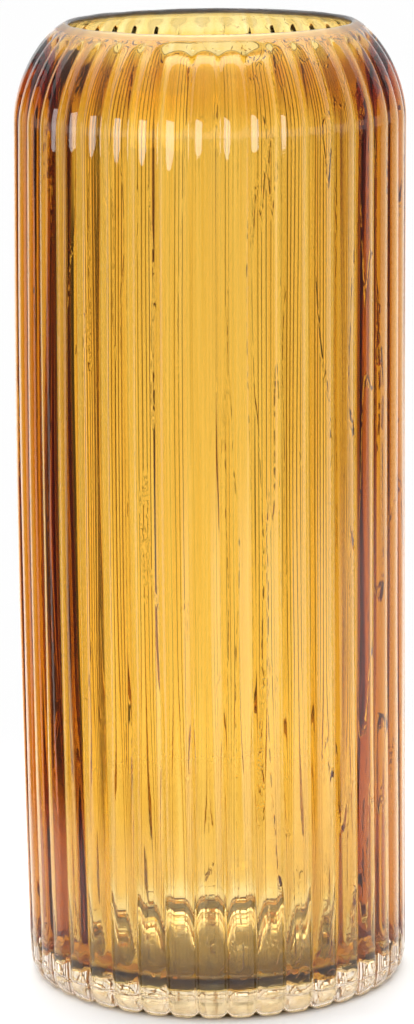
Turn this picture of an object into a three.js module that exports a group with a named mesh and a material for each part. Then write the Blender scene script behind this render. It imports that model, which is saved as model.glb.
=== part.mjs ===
// A tall ribbed vase of cased glass: a thick clear outer casing with convex vertical ribs,
// and a thin amber lining that covers the whole inside. Millimetres, +Z up.
// The origin is the middle of the underside, on the surface that the vase stands on.
import * as THREE from "three";

// Overall size: the rounded rim tops out 24.3 mm above the straight wall, at 250 mm
const WALL_TOP = 225.72;
const BODY_RADIUS = 50; // to the crest of a rib
const RIB_COUNT = 40;
const RIB_DEPTH = 1.4; // crest to valley, on the straight wall
const RIB_DEPTH_AT_RIM = 0.5;

// Shoulder: a rounded curve that draws the wall in from the body to the mouth
const SHOULDER_HEIGHT = 25;
const SHOULDER_INSET = 15.5; // how far the full curve would draw the wall in
const SHOULDER_EXPONENT = 1.7; // 1 is a straight slope, 2 is an ellipse
const SHOULDER_END = 1.34; // curve angle, in radians, where the rim cuts it off

// Walls
const CASING_WALL = 3.4;
const CASING_WALL_AT_RIM = 1.6;
const LINING_WALL = 0.9;
const GAP = 0.3; // clearance that stands for the fused boundary between the two layers

// Base
const BASE_THICKNESS = 4.2; // clear glass under the lining
const HEEL_RADIUS = 3.2; // rounding of the outer lower edge
const FLOOR_FILLET = 11; // rounding of the inner lower corner, on the casing's side
const PUNT_RADIUS = 34; // shallow hollow in the underside, inside the ring that it rests on
const PUNT_DEPTH = 2.15;

// Fineness of the surfaces
const STEPS_PER_RIB = 4;
const LINING_STEPS = 80;
const SHOULDER_STEPS = 6;
const ARC_STEPS = 3;

const V = (r, z) => new THREE.Vector2(r, z);

// Points on an arc round (r, z), from one angle to another, in degrees
function arc(r, z, radius, from, to, steps) {
  const points = [];
  for (let i = 0; i <= steps; i++) {
    const angle = THREE.MathUtils.degToRad(from + ((to - from) * i) / steps);
    points.push(V(r + radius * Math.cos(angle), z + radius * Math.sin(angle)));
  }
  return points;
}

// The crest line of the shoulder with its outward normals, from the body up to the rim
function shoulder() {
  const power = 2 / SHOULDER_EXPONENT;
  const stations = [];
  for (let i = 0; i <= SHOULDER_STEPS; i++) {
    const angle = (SHOULDER_END * i) / SHOULDER_STEPS;
    const across = Math.cos(angle);
    const up = Math.sin(angle);
    const point = V(
      BODY_RADIUS - SHOULDER_INSET * (1 - across ** power),
      WALL_TOP + SHOULDER_HEIGHT * up ** power,
    );
    const normal = V(
      across ** (2 - power) / SHOULDER_INSET,
      up ** (2 - power) / SHOULDER_HEIGHT,
    ).normalize();
    stations.push({ point, normal, fraction: i / SHOULDER_STEPS });
  }
  return stations;
}

// The shoulder set in along its normals, by a depth that changes evenly from body to rim
function insetShoulder(depthAtBody, depthAtRim) {
  return shoulder().map(({ point, normal, fraction }) => {
    const depth = THREE.MathUtils.lerp(depthAtBody, depthAtRim, fraction);
    return point.clone().addScaledVector(normal, -depth);
  });
}

// A half-round edge from one end of a wall to the other, over its cut end
function roundedEdge(from, to, steps) {
  const centre = from.clone().add(to).multiplyScalar(0.5);
  const spoke = from.clone().sub(centre);
  const points = [];
  for (let i = 1; i < steps; i++) {
    points.push(spoke.clone().rotateAround(V(0, 0), (Math.PI * i) / steps).add(centre));
  }
  return points;
}

// The lower corner and floor of one layer, from its straight wall in to the axis
function cornerAndFloor(radius, floor, fillet) {
  return [...arc(radius - fillet, floor + fillet, fillet, 0, -90, ARC_STEPS), V(0, floor)];
}

// How deep the ribs are cut at a height: in full on the wall, fading over the shoulder
function ribDepth(z) {
  const rise = THREE.MathUtils.clamp((z - WALL_TOP) / SHOULDER_HEIGHT, 0, 1);
  return THREE.MathUtils.lerp(RIB_DEPTH, RIB_DEPTH_AT_RIM, rise ** 2);
}

// A solid of revolution about Z; pushIn(angle, index) says how far a point moves to the axis
function revolve(profile, steps, pushIn = () => 0) {
  const geometry = new THREE.LatheGeometry(profile, steps);
  const position = geometry.getAttribute("position");
  for (let i = 0; i < position.count; i++) {
    const turn = Math.floor(i / profile.length) % steps;
    const point = profile[i % profile.length];
    const angle = (2 * Math.PI * turn) / steps;
    const r = Math.max(point.x - pushIn(angle, i % profile.length), 0);
    position.setXYZ(i, r * Math.sin(angle), point.y, r * Math.cos(angle));
  }
  geometry.rotateX(Math.PI / 2);
  geometry.computeVertexNormals();
  return geometry;
}

function clearCasing() {
  const outside = [
    ...arc(BODY_RADIUS - HEEL_RADIUS, HEEL_RADIUS, HEEL_RADIUS, -90, 0, ARC_STEPS),
    ...shoulder().map(({ point }) => point),
  ];
  const inside = insetShoulder(CASING_WALL, CASING_WALL_AT_RIM).reverse();
  const rim = roundedEdge(outside.at(-1), inside[0], ARC_STEPS + 1);
  const underside = [0, 0.5, 0.8, 1].map((f) => V(PUNT_RADIUS * f, PUNT_DEPTH * (1 - f ** 3)));
  const innerRadius = BODY_RADIUS - CASING_WALL;
  const profile = [
    ...underside,
    ...outside,
    ...rim,
    ...inside,
    ...cornerAndFloor(innerRadius, BASE_THICKNESS, FLOOR_FILLET),
  ];
  const firstRibbed = underside.length;
  const lastRibbed = underside.length + outside.length - 1;
  const ribs = (angle, index) => {
    if (index < firstRibbed || index > lastRibbed) return 0;
    const acrossRib = (((angle * RIB_COUNT) / (2 * Math.PI)) % 1) * 2 - 1;
    return ribDepth(profile[index].y) * acrossRib ** 2;
  };
  return revolve(profile, RIB_COUNT * STEPS_PER_RIB, ribs);
}

function amberLining() {
  const outerDepth = CASING_WALL + GAP;
  const outerDepthAtRim = CASING_WALL_AT_RIM + GAP;
  const outside = insetShoulder(outerDepth, outerDepthAtRim);
  const inside = insetShoulder(outerDepth + LINING_WALL, outerDepthAtRim + LINING_WALL).reverse();
  const outerFloor = cornerAndFloor(
    BODY_RADIUS - outerDepth,
    BASE_THICKNESS + GAP,
    FLOOR_FILLET - GAP,
  );
  const innerFloor = cornerAndFloor(
    BODY_RADIUS - outerDepth - LINING_WALL,
    BASE_THICKNESS + GAP + LINING_WALL,
    FLOOR_FILLET - GAP - LINING_WALL,
  );
  const rim = roundedEdge(outside.at(-1), inside[0], 2);
  const profile = [...outerFloor.reverse(), ...outside, ...rim, ...inside, ...innerFloor];
  return revolve(profile, LINING_STEPS);
}

// A named piece with its own glass finish
function piece(name, geometry, color, roughness) {
  const material = new THREE.MeshStandardMaterial({ color, roughness, metalness: 0 });
  material.transparent = true;
  material.opacity = 0.5;
  const mesh = new THREE.Mesh(geometry, material);
  mesh.name = name;
  return mesh;
}

const vase = new THREE.Group();
vase.name = "ribbed_cased_glass_vase";
vase.add(piece("clear_casing", clearCasing(), 0xe4e2d6, 0.05));
vase.add(piece("amber_lining", amberLining(), 0xe09a2c, 0.08));

export default vase;
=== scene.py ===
"""A tall ribbed vase of cased glass, clear outside and amber inside, on a pale floor in a soft studio."""
import math

import bpy
import numpy as np
from mathutils import Matrix, Vector

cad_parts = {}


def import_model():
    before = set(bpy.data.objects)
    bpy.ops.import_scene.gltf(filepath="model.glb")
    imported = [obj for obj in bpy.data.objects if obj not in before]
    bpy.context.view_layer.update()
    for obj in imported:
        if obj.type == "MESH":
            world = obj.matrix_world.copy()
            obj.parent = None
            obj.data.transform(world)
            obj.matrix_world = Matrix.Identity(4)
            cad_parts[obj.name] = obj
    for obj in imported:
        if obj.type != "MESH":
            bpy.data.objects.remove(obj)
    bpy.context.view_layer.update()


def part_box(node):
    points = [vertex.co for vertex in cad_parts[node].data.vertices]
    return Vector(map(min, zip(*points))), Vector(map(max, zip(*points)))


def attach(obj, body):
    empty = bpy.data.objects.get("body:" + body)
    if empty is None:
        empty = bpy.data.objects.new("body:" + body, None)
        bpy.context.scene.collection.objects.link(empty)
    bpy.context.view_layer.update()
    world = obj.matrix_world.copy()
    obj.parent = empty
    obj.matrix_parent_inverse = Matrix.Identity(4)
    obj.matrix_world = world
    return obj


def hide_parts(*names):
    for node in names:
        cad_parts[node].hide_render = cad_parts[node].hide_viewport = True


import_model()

# ---------------------------------------------------------------- driving sizes, in metres
MM = 0.001
RIB_COUNT = 40
RIB_ANGLE = 2 * math.pi / RIB_COUNT
BODY_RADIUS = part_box("clear_casing")[1].x / math.cos(RIB_ANGLE / 2)  # to a rib's crest
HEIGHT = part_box("clear_casing")[1].z
RIB_DEPTH = 1.4 * MM
RIB_FLATNESS = 2.4  # 2 is an evenly rounded rib, more has a flatter crest and a narrower valley
FLATNESS_AT_BASE = 4.5
FLATNESS_LOW = 30 * MM  # the ribs have their flatness at the base up to this height
FLATNESS_HIGH = 100 * MM  # and their usual flatness from this height on
VALLEY_SOFTNESS = 0.04  # share of half a rib over which the valley's crease is rounded

SHOULDER_HEIGHT = 25 * MM
SHOULDER_INSET = 15.5 * MM
SHOULDER_EXPONENT = 1.7
SHOULDER_END = 1.34  # curve angle, in radians, where the rim cuts the shoulder off
RIM_RISE = 24.0 * MM  # from the end of the straight wall to the top of the rim
WALL_TOP = HEIGHT - RIM_RISE
COLLAR = 3.0 * MM  # plain band below the lip
RIB_START = 3.6 * MM  # length over which the valleys sink to their depth below the collar
RIB_DEPTH_AT_COLLAR = 1.0 * MM  # at the front, and half as much at the back
RIB_FULL = 16 * MM  # length from the rim to where the valleys have their full depth

DENT_DEPTH = 1.0 * MM  # shallow dent at the front, on the collar's lower edge
DENT_HEIGHT = 5.0 * MM
DENT_CENTRE = COLLAR + 3 * MM  # from the rim, along the profile
DENT_LEFT = (-0.34, -0.26)  # angles, in radians, between which it deepens
DENT_RIGHT = (0.20, 0.30)  # and between which it ends

WALL = 4.6 * MM  # both layers together
WALL_AT_RIM = 1.1 * MM
RIM_LEAD = 8 * MM  # the wall thickens as if it had begun to this far beyond the rim
FLOOR_LEVEL = 5.4 * MM
CORNER_WIDTH = 9.1 * MM  # the inner lower corner is an ellipse
CORNER_HEIGHT = 11.6 * MM
HEEL_INSET = 2.8 * MM
HEEL_HEIGHT = 6.0 * MM
HEEL_RADIUS = BODY_RADIUS - HEEL_INSET  # where the flat ring under the vase ends
HEEL_VALLEYS = 3 * MM  # width, inside that radius, over which the valleys run out underneath
GROOVE_LEVEL = 5.0 * MM  # faint groove where the heel meets the side
GROOVE_WIDTH = 0.45 * MM
GROOVE_DEPTH = 0.2 * MM
PUNT_RADIUS = 34 * MM  # the punt is the shallow hollow under the base
PUNT_DEPTH = 2.15 * MM
PUNT_EXPONENT = 3.4  # more makes it flatter in the middle and steeper at the edge

LINING_DEPTH = 0.05 * MM  # how far under the inner surface the amber begins
LINING_WALL = 0.9 * MM
LINING_LOW = 6 * MM  # the amber fades in between these two heights
LINING_FULL = 12 * MM
LINING_RAGGED = 1.2 * MM  # how unevenly it does so
LINING_ON_FLOOR = 0.02  # share of its thickness left on the clear floor
LINING_SETTLED = 90 * MM  # below this height the wall's amber is slightly thinner
LINING_LOSS_LOW = 0.08
NECK_LENGTH = 10 * MM  # over this length above the straight wall it gathers to its most
NECK_GAIN = 0.7
LIP_BAND = (10 * MM, 5 * MM)  # distances below the rim between which it thins towards the lip
LIP_LOSS = 0.5
LINING_STREAKS = 0.14  # uneven thickness in long streaks, as a share

BOW = 0.85 * MM  # how far the middle of the hand-blown body stands off its axis
BELLY = 0.6 * MM  # how much its radius grows towards the middle
OUTSIDE_WAVES = 0.05 * MM  # unevenness of the blown surfaces
INSIDE_WAVES = 0.12 * MM
INSIDE_FINE_WAVES = 0.003 * MM
INSIDE_FLOOR_WAVES = 0.10 * MM
INSIDE_RIBS = 0.22 * MM  # how far the inside follows the ribs outside
INSIDE_RIB_MIDDLE = 0.6  # the rib height at which it stays on its plain profile
INSIDE_FLOOR_EDGE = (32 * MM, 44 * MM)  # radii between which floor waves give way to wall waves
INSIDE_MARKS_START = 4 * MM  # length below the lip over which the marks inside begin

PUNT_ROWS = 17  # rows of the mesh on each stretch of the profile
RING_ROWS = 8
HEEL_ROWS = 27
WALL_ROWS = 64
SHOULDER_ROWS = 28
RIM_ROWS = 33
RIM_ROWS_FROM = 0.8  # share of the shoulder's curve above which its rows are closer
LIP_ROWS = 12
CORNER_ROWS = 25
FLOOR_ROWS = 24


# ---------------------------------------------------------------- profile of the glass
def smooth_step(values, start, stop):
    """0 up to start and 1 from stop on, with a smooth step between."""
    share = np.clip((values - start) / (stop - start), 0, 1)
    return share ** 2 * (3 - 2 * share)


def from_rim(profile):
    """Length along the profile from each row to its last one, which is at the rim."""
    steps = np.linalg.norm(np.diff(profile, axis=0), axis=1)
    return np.append(steps[::-1].cumsum()[::-1], 0)[:, None]


def line(start, stop, steps):
    """Points on a straight line, without its two ends."""
    shares = np.arange(1, steps) / steps
    return np.asarray(start) + shares[:, None] * (np.asarray(stop) - np.asarray(start))


def shoulder():
    """Points and outward normals of the shoulder's crest line, from the body to the rim."""
    power = 2 / SHOULDER_EXPONENT
    angles = np.concatenate([
        np.linspace(0, RIM_ROWS_FROM * SHOULDER_END, SHOULDER_ROWS, endpoint=False),
        np.linspace(RIM_ROWS_FROM * SHOULDER_END, SHOULDER_END, RIM_ROWS),
    ])
    across, up = np.cos(angles), np.sin(angles)
    points = np.stack([
        BODY_RADIUS - SHOULDER_INSET * (1 - across ** power),
        WALL_TOP + SHOULDER_HEIGHT * up ** power,
    ], axis=1)
    normals = np.stack([
        across ** (2 - power) / SHOULDER_INSET,
        up ** (2 - power) / SHOULDER_HEIGHT,
    ], axis=1)
    return points, normals / np.linalg.norm(normals, axis=1)[:, None]


def heel_curve():
    """The rounded edge between the underside and the side, taller than it is wide."""
    turns = np.linspace(0, math.pi / 2, HEEL_ROWS)
    r = BODY_RADIUS - HEEL_INSET * (1 - np.sin(turns))
    z = HEEL_HEIGHT * (1 - np.cos(turns))
    return np.stack([r, z], axis=1)


def outer_profile():
    """The outside from the middle of the underside up to the rim, at the crest of a rib."""
    shares = np.linspace(0, 1, PUNT_ROWS)
    punt = np.stack([PUNT_RADIUS * shares, PUNT_DEPTH * (1 - shares ** PUNT_EXPONENT)], axis=1)
    heel = heel_curve()
    points, _ = shoulder()
    return np.concatenate([
        punt,
        line(punt[-1], heel[0], RING_ROWS),
        heel,
        line(heel[-1], points[0], WALL_ROWS),
        points,
    ])


def inner_profile(depth=0.0):
    """The inside surface from the rim down to the middle of the floor, set into the glass by depth."""
    points, normals = shoulder()
    away = from_rim(points)
    wall = WALL_AT_RIM + (WALL - WALL_AT_RIM) * smooth_step(away, -RIM_LEAD, away[0])
    neck = (points - normals * (wall - depth))[::-1]
    width, height = CORNER_WIDTH + depth, CORNER_HEIGHT + depth
    turns = np.linspace(0, math.pi / 2, CORNER_ROWS)
    corner = np.stack([
        BODY_RADIUS - WALL + depth - width * (1 - np.cos(turns)),
        FLOOR_LEVEL - depth + height * (1 - np.sin(turns)),
    ], axis=1)
    centre = np.array([0.0, FLOOR_LEVEL - depth])
    return np.concatenate([
        neck,
        line(neck[-1], corner[0], WALL_ROWS),
        corner,
        line(corner[-1], centre, FLOOR_ROWS),
        [centre],
    ])


# ---------------------------------------------------------------- surfaces
def column_angles(per_half_rib):
    """Angles of the mesh's columns round the vase, closer together at the valleys."""
    shares = (np.arange(per_half_rib) / per_half_rib) ** 1.5 / 2
    rib = np.concatenate([shares, [0.5], 1 - shares[:0:-1]])
    return (np.arange(RIB_COUNT)[:, None] + rib).ravel() * RIB_ANGLE


def rib_height(angles, flatness=RIB_FLATNESS):
    """0 at the bottom of a valley and 1 on the crest, with a slightly rounded valley."""
    across = (angles / RIB_ANGLE) % 1
    valley = 1 - np.abs(2 * across - 1)
    soft = np.sqrt(valley ** 2 + VALLEY_SOFTNESS ** 2) - VALLEY_SOFTNESS
    soft = soft / (math.sqrt(1 + VALLEY_SOFTNESS ** 2) - VALLEY_SOFTNESS)
    return 1 - (1 - soft) ** flatness


def waves(angles, heights, seed, count, turns, rises):
    """A sum of smooth waves round and along the vase, from about -1 to 1.

    turns and rises are the lowest and highest number of waves round it, and up its height.
    """
    draw = np.random.default_rng(seed)
    total = np.zeros(np.broadcast(angles, heights).shape)
    for _ in range(count):
        around = draw.integers(turns[0], turns[1] + 1)
        along = draw.uniform(rises[0], rises[1]) * draw.choice([-1, 1])
        phase = draw.uniform(0, 2 * math.pi)
        total += np.cos(around * angles + 2 * math.pi * along * heights / HEIGHT + phase)
    return total / math.sqrt(count)


def floor_waves(radii, angles, seed=13, count=9, shortest=14 * MM, longest=40 * MM):
    """Low undulations of the inside floor, from about -1 to 1, that run straight across it."""
    draw = np.random.default_rng(seed)
    total = np.zeros(np.broadcast(radii, angles).shape)
    for _ in range(count):
        heading, phase = draw.uniform(0, 2 * math.pi, 2)
        length = draw.uniform(shortest / MM, longest / MM) * MM
        total += np.cos(2 * math.pi / length * radii * np.cos(angles - heading) + phase)
    return total / math.sqrt(count)


def inner_waves(profile, angles):
    """How far the blown inside surface stands off its plain profile."""
    heights = profile[:, 1:]
    radii = profile[:, :1]
    on_wall = smooth_step(radii, *INSIDE_FLOOR_EDGE)
    body = 1 - smooth_step(heights, WALL_TOP - NECK_LENGTH, WALL_TOP + NECK_LENGTH)
    follow = INSIDE_RIBS * (rib_height(angles) - INSIDE_RIB_MIDDLE)
    broad = INSIDE_WAVES * waves(angles, heights, seed=11, count=8, turns=(2, 9), rises=(0.3, 1.5))
    fine = INSIDE_FINE_WAVES * waves(angles, heights, seed=12, count=14, turns=(30, 110), rises=(0.3, 4))
    flat = INSIDE_FLOOR_WAVES * floor_waves(radii, angles)
    return on_wall * (broad - follow + body * fine) + (1 - on_wall) * flat


def valley_relief(profile, angles):
    """Depth of the valleys between the ribs. They start below a plain collar and run out under the heel."""
    away = from_rim(profile)
    facing = 0.5 + 0.5 * np.cos(angles)
    at_collar = RIB_DEPTH_AT_COLLAR * (0.5 + 0.5 * facing)
    depth = at_collar + (RIB_DEPTH - at_collar) * smooth_step(away, 0, RIB_FULL)
    sunk = smooth_step(away, COLLAR, COLLAR + RIB_START)
    under = smooth_step(profile[:, :1], HEEL_RADIUS - HEEL_VALLEYS, HEEL_RADIUS)
    beside = np.where(profile[:, 1:] > WALL_TOP, 1, under)
    upper = smooth_step(profile[:, 1:], FLATNESS_LOW, FLATNESS_HIGH)
    flatness = FLATNESS_AT_BASE + (RIB_FLATNESS - FLATNESS_AT_BASE) * upper
    return beside * depth * sunk * (1 - rib_height(angles, flatness))


def dent_relief(profile, angles):
    """Depth of the shallow dent at the front of the collar."""
    turned = (angles + math.pi) % (2 * math.pi) - math.pi
    front = smooth_step(turned, *DENT_LEFT) - smooth_step(turned, *DENT_RIGHT)
    return DENT_DEPTH * front * np.exp(-((from_rim(profile) - DENT_CENTRE) / (DENT_HEIGHT / 2)) ** 2)


def outer_push(profile, angles):
    """How far the outside stands off the line of the crests."""
    heights = profile[:, 1:]
    on_side = smooth_step(profile[:, :1], HEEL_RADIUS, BODY_RADIUS) + (heights > WALL_TOP)
    uneven = OUTSIDE_WAVES * waves(angles, heights, seed=5, count=8, turns=(2, 24), rises=(0.3, 2))
    groove = GROOVE_DEPTH * np.exp(-((heights - GROOVE_LEVEL) / GROOVE_WIDTH) ** 2)
    sunk = valley_relief(profile, angles) + dent_relief(profile, angles) + groove * on_side
    return np.minimum(on_side, 1) * uneven - sunk


def profile_normals(profile):
    """Unit normals of a profile, pointing to its right as it runs."""
    along = np.gradient(profile, axis=0)
    normals = np.stack([along[:, 1], -along[:, 0]], axis=1)
    return normals / np.linalg.norm(normals, axis=1)[:, None]


def rings(profile, angles, push):
    """Grid of points (row, column, xyz): the profile turned round Z, moved out by push along its normals."""
    normals = profile_normals(profile)
    r = profile[:, :1] + normals[:, :1] * push
    z = profile[:, 1:] + normals[:, 1:] * push
    r = np.maximum(r, 0)
    level = 2 * profile[:, 1:] / HEIGHT - 1
    middle = np.clip(1 - level ** 2, 0, 1)
    r = r * (1 + BELLY / BODY_RADIUS * middle)
    x = r * np.sin(angles) - BOW * middle
    y = -r * np.cos(angles)
    return np.stack([x, y, z + 0 * angles], axis=2)


def lip_rows(start, stop, angles):
    """Rows that carry the glass over the rounded lip, from the ring start to the ring stop."""
    centre, spoke = (start + stop) / 2, (start - stop) / 2
    out = np.stack([np.sin(angles), -np.cos(angles)], axis=1)
    spoke_r = (spoke[:, :2] * out).sum(axis=1)
    side = np.concatenate([-out * spoke[:, 2:], spoke_r[:, None]], axis=1)
    turns = (np.pi * np.arange(1, LIP_ROWS) / LIP_ROWS)[:, None, None]
    return centre + np.cos(turns) * spoke + np.sin(turns) * side


def grid_mesh(grid):
    """Vertices and faces of a closed surface: the first and last rows are single points on the axis."""
    rows, columns, _ = grid.shape
    middle = grid[1:-1].reshape(-1, 3)
    vertices = np.concatenate([[grid[0].mean(axis=0)], middle, [grid[-1].mean(axis=0)]])
    faces = []
    last = len(vertices) - 1
    for c in range(columns):
        faces.append((0, 1 + (c + 1) % columns, 1 + c))
    for row in range(rows - 3):
        start = 1 + row * columns
        for c in range(columns):
            d = (c + 1) % columns
            faces.append((start + c, start + d, start + columns + d, start + columns + c))
    start = 1 + (rows - 3) * columns
    for c in range(columns):
        faces.append((last, start + c, start + (c + 1) % columns))
    return vertices.tolist(), faces


def mesh_object(name, vertices, faces):
    """A smooth-shaded mesh object in the scene."""
    mesh = bpy.data.meshes.new(name)
    mesh.from_pydata(vertices, [], faces)
    mesh.shade_smooth()
    obj = bpy.data.objects.new(name, mesh)
    bpy.context.scene.collection.objects.link(obj)
    return obj


def mark_inside(casing, shape, inner):
    """Store on each vertex how far it counts as the inside: 1 there, and fading to 0 towards the lip."""
    inside = np.zeros(shape)
    inside[-len(inner):] = smooth_step(from_rim(inner[::-1])[::-1], 0, INSIDE_MARKS_START)
    inside = np.concatenate([[0], inside[1:-1].ravel(), [1]])
    casing.data.attributes.new("inside", "FLOAT", "POINT").data.foreach_set("value", inside)


def build_casing():
    """The whole thickness of glass, from the ribbed outside to the smooth inside."""
    angles = column_angles(per_half_rib=5)
    outer, inner = outer_profile(), inner_profile()
    outer_grid = rings(outer, angles, outer_push(outer, angles))
    outer_grid[:, :, 2] = np.maximum(outer_grid[:, :, 2], 0)
    inner_grid = rings(inner, angles, inner_waves(inner, angles))
    lip = lip_rows(outer_grid[-1], inner_grid[0], angles)
    grid = np.concatenate([outer_grid, lip, inner_grid])
    casing = mesh_object("clear_casing_glass", *grid_mesh(grid))
    mark_inside(casing, grid.shape[:2], inner)
    return casing


def lining_amount(profile, angles):
    """Share of the lining's usual thickness: it ends in a ragged edge just above the floor."""
    heights = profile[:, 1:]
    ragged = LINING_RAGGED * waves(angles, heights, seed=31, count=10, turns=(5, 36), rises=(0, 0))
    wall = smooth_step(heights + ragged, LINING_LOW, LINING_FULL)
    low = 1 - smooth_step(heights, LINING_FULL, LINING_SETTLED)
    neck = smooth_step(heights, WALL_TOP, WALL_TOP + NECK_LENGTH)
    lip = smooth_step(heights, HEIGHT - LIP_BAND[0], HEIGHT - LIP_BAND[1])
    wall = wall * (1 - LINING_LOSS_LOW * low) * (1 + NECK_GAIN * neck) * (1 - LIP_LOSS * lip)
    return LINING_ON_FLOOR + (1 - LINING_ON_FLOOR) * wall


def build_lining():
    """The amber layer: a thin closed shell just under the inside surface of the glass."""
    angles = column_angles(per_half_rib=4)
    inner = inner_profile(LINING_DEPTH)
    heights = inner[:, 1:]
    streaks = LINING_STREAKS * waves(angles, heights, seed=21, count=18, turns=(14, 120), rises=(0.2, 3))
    base = inner_waves(inner_profile(), angles)
    near = rings(inner, angles, base)
    far = rings(inner, angles, base - LINING_WALL * lining_amount(inner, angles) * (1 + streaks))
    return mesh_object("amber_lining_glass", *grid_mesh(np.concatenate([near[::-1], far])[::-1]))


# ---------------------------------------------------------------- material nodes
def link_math(tree, operation, *inputs):
    """A Math node on these inputs, each a socket or a number; returns its output."""
    node = tree.nodes.new("ShaderNodeMath")
    node.operation = operation
    for socket, value in zip(node.inputs, inputs):
        if isinstance(value, (int, float)):
            socket.default_value = value
        else:
            tree.links.new(value, socket)
    return node.outputs[0]


def link_ramp(tree, value, start, stop):
    """0 below start and 1 above stop, with a smooth step between."""
    node = tree.nodes.new("ShaderNodeMapRange")
    node.interpolation_type = "SMOOTHSTEP"
    node.inputs["From Min"].default_value = start
    node.inputs["From Max"].default_value = stop
    tree.links.new(value, node.inputs["Value"])
    return node.outputs["Result"]


def link_window(tree, value, start, stop, blur):
    """1 between start and stop, and 0 outside them, with edges blur wide."""
    rise = link_ramp(tree, value, start - blur / 2, start + blur / 2)
    fall = link_ramp(tree, value, stop - blur / 2, stop + blur / 2)
    return link_math(tree, "SUBTRACT", rise, fall)


def link_noise(tree, across, along, detail=2.0):
    """Noise on the object's own coordinates, with cells across wide and along high, in metres."""
    place = tree.nodes.new("ShaderNodeTexCoord")
    scale = tree.nodes.new("ShaderNodeMapping")
    scale.inputs["Scale"].default_value = (1 / across, 1 / across, 1 / along)
    tree.links.new(place.outputs["Object"], scale.inputs["Vector"])
    noise = tree.nodes.new("ShaderNodeTexNoise")
    noise.inputs["Scale"].default_value = 1
    noise.inputs["Detail"].default_value = detail
    tree.links.new(scale.outputs["Vector"], noise.inputs["Vector"])
    return noise.outputs["Fac"]


def link_position(tree):
    """X, Y and Z of the point, in the object's own metres."""
    place = tree.nodes.new("ShaderNodeTexCoord")
    split = tree.nodes.new("ShaderNodeSeparateXYZ")
    tree.links.new(place.outputs["Object"], split.inputs[0])
    return split.outputs


def link_distance(tree, centre=(0, 0, 0)):
    """Distance of the point from centre, in the object's own metres."""
    place = tree.nodes.new("ShaderNodeTexCoord")
    node = tree.nodes.new("ShaderNodeVectorMath")
    node.operation = "DISTANCE"
    node.inputs[1].default_value = centre
    tree.links.new(place.outputs["Object"], node.inputs[0])
    return node.outputs["Value"]


def link_bump(tree, height, depth):
    """A bump whose height of 1 stands for depth metres, on the material's main shader."""
    bump = tree.nodes.new("ShaderNodeBump")
    bump.inputs["Strength"].default_value = 1
    bump.inputs["Distance"].default_value = depth
    tree.links.new(height, bump.inputs["Height"])
    tree.links.new(bump.outputs["Normal"], tree.nodes["Principled BSDF"].inputs["Normal"])


# ---------------------------------------------------------------- materials
CLEAR_TINT = (0.70, 0.52, 0.35)
CLEAR_DENSITY = 6
CLEAR_IOR = 1.52
AMBER_TINT = (0.874, 0.712, 0.125)
AMBER_DENSITY = 1900
POLISHED = 0.01  # roughness of clean glass
LIP_DULLNESS = 0.30  # roughness added at the worn parts
HEEL_DULLNESS = 0.30
SMEAR_DULLNESS = 0.03
SEED_DULLNESS = 0.06
DULL_LIP = (HEIGHT - 1.6 * MM, HEIGHT - 0.8 * MM)  # heights between which the lip's dullness begins
DULL_HEEL_TOP = (3.5 * MM, HEEL_HEIGHT)  # heights between which the heel's dullness ends
DULL_HEEL_EDGE = (44 * MM, 46 * MM)  # radii between which it begins

DRAWN_CELL = (1.6 * MM, 90 * MM)  # noise cells, across and along the vase
THREAD_CELL = (3.2 * MM, 70 * MM)
BEAD_CELL = (1.1 * MM, 3.0 * MM)
PATCH_CELL = (14 * MM, 60 * MM)
SMEAR_CELL = (9 * MM, 40 * MM)
WEAR_CELL = (3 * MM, 8 * MM)
SEED_CELL = (1.2 * MM, 6 * MM)
BEAD_NOISE = (0.42, 0.62)  # noise values between which each of these comes in
PATCH_NOISE = (0.42, 0.55)
SMEAR_NOISE = (0.5, 0.75)

MARK_HEIGHT = 0.07 * MM  # height of one thread
DRAWN_SHARE = 0.08  # height of the soft draw lines, as a share of that
THREAD_WIDTH = 0.022  # in the thread noise's own units
THREADS_LEAST = 0.6  # strength of the threads on the left
THREADS_MORE = 2.6  # and what is added to it on the right
THREADS_FROM, THREADS_TO = -0.012, 0.022  # x between which they grow
AMBER_BUMP = 0.03 * MM


def glass_material(name, ior, colour, density):
    """Glass coloured in its depth: each metre of it absorbs density times what colour leaves out."""
    material = bpy.data.materials.new(name)
    material.use_nodes = True
    nodes, links = material.node_tree.nodes, material.node_tree.links
    shader = nodes["Principled BSDF"]
    shader.inputs["Base Color"].default_value = (1, 1, 1, 1)
    shader.inputs["Transmission Weight"].default_value = 1
    shader.inputs["IOR"].default_value = ior
    volume = nodes.new("ShaderNodeVolumeAbsorption")
    volume.inputs["Color"].default_value = (*colour, 1)
    volume.inputs["Density"].default_value = density
    links.new(volume.outputs["Volume"], nodes["Material Output"].inputs["Volume"])
    return material


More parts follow.
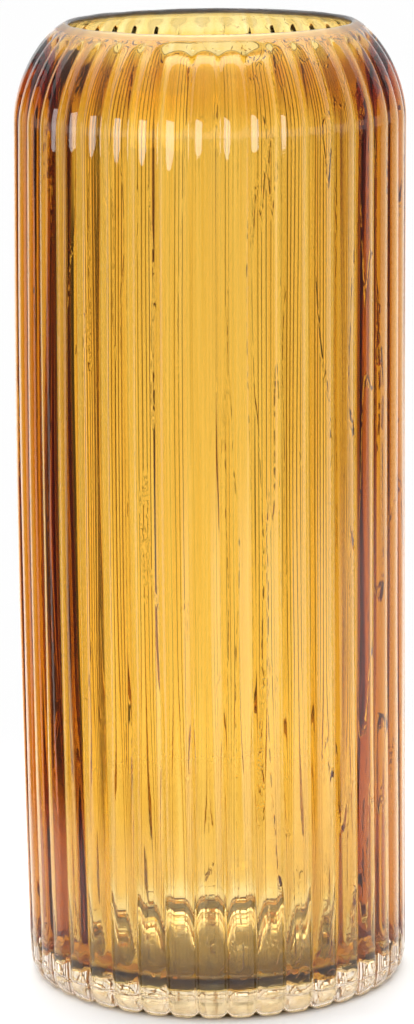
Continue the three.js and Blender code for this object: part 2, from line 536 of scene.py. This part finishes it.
def link_marks(tree):
    """Height of the marks on the blown inside: soft draw lines, and beaded threads, most on the right."""
    inside = tree.nodes.new("ShaderNodeAttribute")
    inside.attribute_name = "inside"
    x, _, _ = link_position(tree)
    drawn = link_noise(tree, *DRAWN_CELL)
    thread = link_noise(tree, *THREAD_CELL, detail=1.0)
    off_thread = link_math(tree, "ABSOLUTE", link_math(tree, "SUBTRACT", thread, 0.5))
    on_thread = link_math(tree, "SUBTRACT", 1.0, link_ramp(tree, off_thread, 0.0, THREAD_WIDTH))
    beads = link_ramp(tree, link_noise(tree, *BEAD_CELL), *BEAD_NOISE)
    patches = link_ramp(tree, link_noise(tree, *PATCH_CELL, detail=1.0), *PATCH_NOISE)
    right = link_ramp(tree, x, THREADS_FROM, THREADS_TO)
    strength = link_math(tree, "MULTIPLY_ADD", right, THREADS_MORE, THREADS_LEAST)
    threads = link_math(tree, "MULTIPLY", on_thread, link_math(tree, "MULTIPLY", beads, patches))
    threads = link_math(tree, "MULTIPLY", threads, strength)
    height = link_math(tree, "MULTIPLY_ADD", drawn, DRAWN_SHARE, threads)
    return link_math(tree, "MULTIPLY", height, inside.outputs["Fac"])


def link_heel(tree):
    """1 on the outside of the heel, and 0 elsewhere."""
    x, y, z = link_position(tree)
    squares = [link_math(tree, "POWER", axis, 2.0) for axis in (x, y)]
    radius = link_math(tree, "SQRT", link_math(tree, "ADD", *squares))
    low = link_math(tree, "SUBTRACT", 1.0, link_ramp(tree, z, *DULL_HEEL_TOP))
    return link_math(tree, "MULTIPLY", low, link_ramp(tree, radius, *DULL_HEEL_EDGE))


def clear_glass():
    """Clear glass with a faint warm tint: duller at the lip and heel, with drawn marks inside."""
    material = glass_material("clear_glass", CLEAR_IOR, CLEAR_TINT, CLEAR_DENSITY)
    tree = material.node_tree
    _, _, z = link_position(tree)
    lip = link_ramp(tree, z, *DULL_LIP)
    smears = link_ramp(tree, link_noise(tree, *SMEAR_CELL), *SMEAR_NOISE)
    worn = link_math(tree, "MULTIPLY", link_heel(tree), link_noise(tree, *WEAR_CELL))
    dull = link_math(tree, "MULTIPLY_ADD", worn, HEEL_DULLNESS, POLISHED)
    dull = link_math(tree, "MULTIPLY_ADD", lip, LIP_DULLNESS, dull)
    roughness = link_math(tree, "MULTIPLY_ADD", smears, SMEAR_DULLNESS, dull)
    tree.links.new(roughness, tree.nodes["Principled BSDF"].inputs["Roughness"])
    link_bump(tree, link_marks(tree), MARK_HEIGHT)
    return material


def amber_glass():
    """The amber layer. It has clear glass on both sides, so its own surface doesn't bend light."""
    material = glass_material("amber_glass", 1.0, AMBER_TINT, AMBER_DENSITY)
    tree = material.node_tree
    seeds = link_noise(tree, *SEED_CELL)
    roughness = link_math(tree, "MULTIPLY_ADD", seeds, SEED_DULLNESS, POLISHED)
    tree.links.new(roughness, tree.nodes["Principled BSDF"].inputs["Roughness"])
    link_bump(tree, link_noise(tree, *DRAWN_CELL), AMBER_BUMP)
    return material


# ---------------------------------------------------------------- stage
FLOOR_RADIUS = 6.0
FLOOR_SIDES = 128
FLOOR_DROP = 0.2 * MM  # the floor lies this far below the vase
PAPER_RADIUS = 0.24
PAPER_FADE = 0.10  # width of the border over which the paper fades into the backdrop
PAPER_COLOUR = (0.93, 0.93, 0.93, 1)
PAPER_ROUGHNESS = 0.7
BACKDROP_ALPHA = 0.02  # how much of the floor beyond the paper still shows
# Painted shadow: the paper under the vase is coloured dark amber-brown to stand in for its shade, as if lit
# only through the amber glass, and centred a little towards the camera.
SHADOW_COLOUR = (0.06, 0.035, 0.01, 1)  # of the paper that the vase stands on
SHADOW_CENTRE = (0, -2 * MM, 0)
SHADOW_RADIUS = 43 * MM
SHADOW_FADE = 3.5 * MM

STUDIO_LIGHT = 1.19
BACKDROP_LIGHT = 0.98  # of the studio where it is seen directly

# Light that the studio has beyond that, as (1 above the horizon or -1 below it,
# degrees from the horizon where it begins, degrees where it is full, how much).
GLOWS = [
    (1, 20, 60, 2.4),
    (-1, 5.3, 7.5, 0.34),
    (-1, 7, 17, 0.3),
]

# Dark cards round the set, which the glass shows as dark stripes.
# Each is (left edge, right edge, lowest, highest, share of light it blocks), with angles in degrees:
# the edges are measured from straight behind the vase, and the heights from the horizon.
CARDS = [
    (-66, -45, -20, 24, 0.92),
    (-84, -66, -20, -6, 0.96),
    (-84, -66, 5, 20, 0.9),
    (-180, -100, -24, -4, 0.93),
    (-180, -100, 5, 85, 0.75),
    (100, 180, 5, 85, 0.75),
    (31, 42, -20, 20, 0.12),
    (60, 100, -20, -5, 0.15),
    (76, 100, 5, 20, 0.2),
    (160, 180, -24, -4, 0.93),
    (100, 160, -12, -5, 0.85),
]
CARD_BLUR = 2.5  # degrees over which a card's edge fades

CAMERA_PLACE = Vector((-0.0019, -1.0502, 0.3463))
CAMERA_BEARING = math.radians(-2.64)  # turn of the camera round the vase, from straight in front
CAMERA_PITCH = 0.2100  # radians below level
CAMERA_ROLL = -0.0091
CAMERA_LENS = 144.58  # mm


def link_directions(tree):
    """Bearing from straight behind the vase, and height over the horizon, of each part of the studio."""
    place = tree.nodes.new("ShaderNodeTexCoord")
    split = tree.nodes.new("ShaderNodeSeparateXYZ")
    tree.links.new(place.outputs["Generated"], split.inputs[0])
    x, y, z = split.outputs
    degrees = math.degrees(1)
    bearing = link_math(tree, "MULTIPLY", link_math(tree, "ARCTAN2", x, y), degrees)
    height = link_math(tree, "MULTIPLY", link_math(tree, "ARCSINE", z), degrees)
    return bearing, height


def link_studio(tree):
    """Light from each part of the studio, with its glows and cards."""
    bearing, height = link_directions(tree)
    light = STUDIO_LIGHT
    for side, start, stop, extra in GLOWS:
        away = link_math(tree, "MULTIPLY", height, side)
        light = link_math(tree, "MULTIPLY_ADD", link_ramp(tree, away, start, stop), extra, light)
    for left, right, low, high, blocked in CARDS:
        across = link_window(tree, bearing, left, right, CARD_BLUR)
        up = link_window(tree, height, low, high, CARD_BLUR)
        shade = link_math(tree, "MULTIPLY", link_math(tree, "MULTIPLY", across, up), blocked)
        light = link_math(tree, "MULTIPLY", light, link_math(tree, "SUBTRACT", 1.0, shade))
    return light


def world():
    """A white studio with dark cards. Seen directly it is plain white."""
    studio = bpy.data.worlds.new("studio")
    bpy.context.scene.world = studio
    studio.use_nodes = True
    tree = studio.node_tree
    direct = tree.nodes.new("ShaderNodeLightPath").outputs["Is Camera Ray"]
    indirect = link_math(tree, "SUBTRACT", 1.0, direct)
    light = link_math(tree, "MULTIPLY", link_studio(tree), indirect)
    light = link_math(tree, "MULTIPLY_ADD", direct, BACKDROP_LIGHT, light)
    background = tree.nodes["Background"]
    background.inputs["Color"].default_value = (1, 1, 1, 1)
    tree.links.new(light, background.inputs["Strength"])


def floor_paper():
    """Pale paper with a painted shadow, dark amber-brown, where the vase stands on it, whose edge fades into
    the backdrop.
    """
    material = bpy.data.materials.new("floor_paper")
    material.use_nodes = True
    tree = material.node_tree
    shader = tree.nodes["Principled BSDF"]
    shader.inputs["Roughness"].default_value = PAPER_ROUGHNESS
    # Mask of the painted shadow: 0 under the vase, rising to 1 beyond its edge.
    shadow = link_distance(tree, SHADOW_CENTRE)
    paper = tree.nodes.new("ShaderNodeMix")
    paper.data_type = "RGBA"
    paper.inputs["A"].default_value = SHADOW_COLOUR
    paper.inputs["B"].default_value = PAPER_COLOUR
    beside = link_ramp(tree, shadow, SHADOW_RADIUS, SHADOW_RADIUS + SHADOW_FADE)
    tree.links.new(beside, paper.inputs["Factor"])
    tree.links.new(paper.outputs["Result"], shader.inputs["Base Color"])
    fade = link_ramp(tree, link_distance(tree), PAPER_RADIUS - PAPER_FADE, PAPER_RADIUS)
    alpha = link_math(tree, "MULTIPLY_ADD", fade, BACKDROP_ALPHA - 1.0, 1.0)
    tree.links.new(alpha, shader.inputs["Alpha"])
    return material


def floor():
    """A wide level floor with the paper in the middle of it."""
    turns = np.linspace(0, 2 * math.pi, FLOOR_SIDES, endpoint=False)
    edge = [(FLOOR_RADIUS * math.cos(turn), FLOOR_RADIUS * math.sin(turn), 0) for turn in turns]
    mesh = bpy.data.meshes.new("floor")
    mesh.from_pydata(edge, [], [range(len(edge))])
    mesh.materials.append(floor_paper())
    obj = bpy.data.objects.new("floor", mesh)
    bpy.context.scene.collection.objects.link(obj)
    obj.location.z = -FLOOR_DROP


def softbox(name, bearing, distance, height, width, tall, power):
    """A rectangular light that faces the vase; bearing is in degrees from straight behind it."""
    data = bpy.data.lights.new(name, "AREA")
    data.shape = "RECTANGLE"
    data.size, data.size_y = width, tall
    data.energy = power
    obj = bpy.data.objects.new(name, data)
    bpy.context.scene.collection.objects.link(obj)
    angle = math.radians(bearing)
    obj.location = (distance * math.sin(angle), distance * math.cos(angle), height)
    obj.rotation_euler = (math.pi / 2, 0, math.pi - angle)
    obj.visible_camera = False


def camera():
    """The photograph's camera: a long lens, about a metre away, looking slightly down."""
    data = bpy.data.cameras.new("camera")
    data.lens = CAMERA_LENS
    data.sensor_width = 36
    data.clip_start, data.clip_end = 0.05, 50
    obj = bpy.data.objects.new("camera", data)
    bpy.context.scene.collection.objects.link(obj)
    turn = Matrix.Rotation(CAMERA_BEARING, 4, "Z")
    place = Matrix.Translation(CAMERA_PLACE)
    look = Matrix.Rotation(math.pi / 2 - CAMERA_PITCH, 4, "X") @ Matrix.Rotation(CAMERA_ROLL, 4, "Z")
    obj.matrix_world = turn @ place @ look
    bpy.context.scene.camera = obj


# ---------------------------------------------------------------- the scene
casing = build_casing()
casing.data.materials.append(clear_glass())
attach(casing, "root")
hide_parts("clear_casing")

lining = build_lining()
lining.data.materials.append(amber_glass())
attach(lining, "root")
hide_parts("amber_lining")

floor()
world()
softbox("key_softbox", bearing=-147, distance=1.0, height=0.31, width=0.7, tall=0.38, power=5)
camera()

scene = bpy.context.scene
scene.view_settings.view_transform = "Standard"
scene.cycles.max_bounces = 40
scene.cycles.transmission_bounces = 40
scene.cycles.glossy_bounces = 16
scene.cycles.use_denoising = True
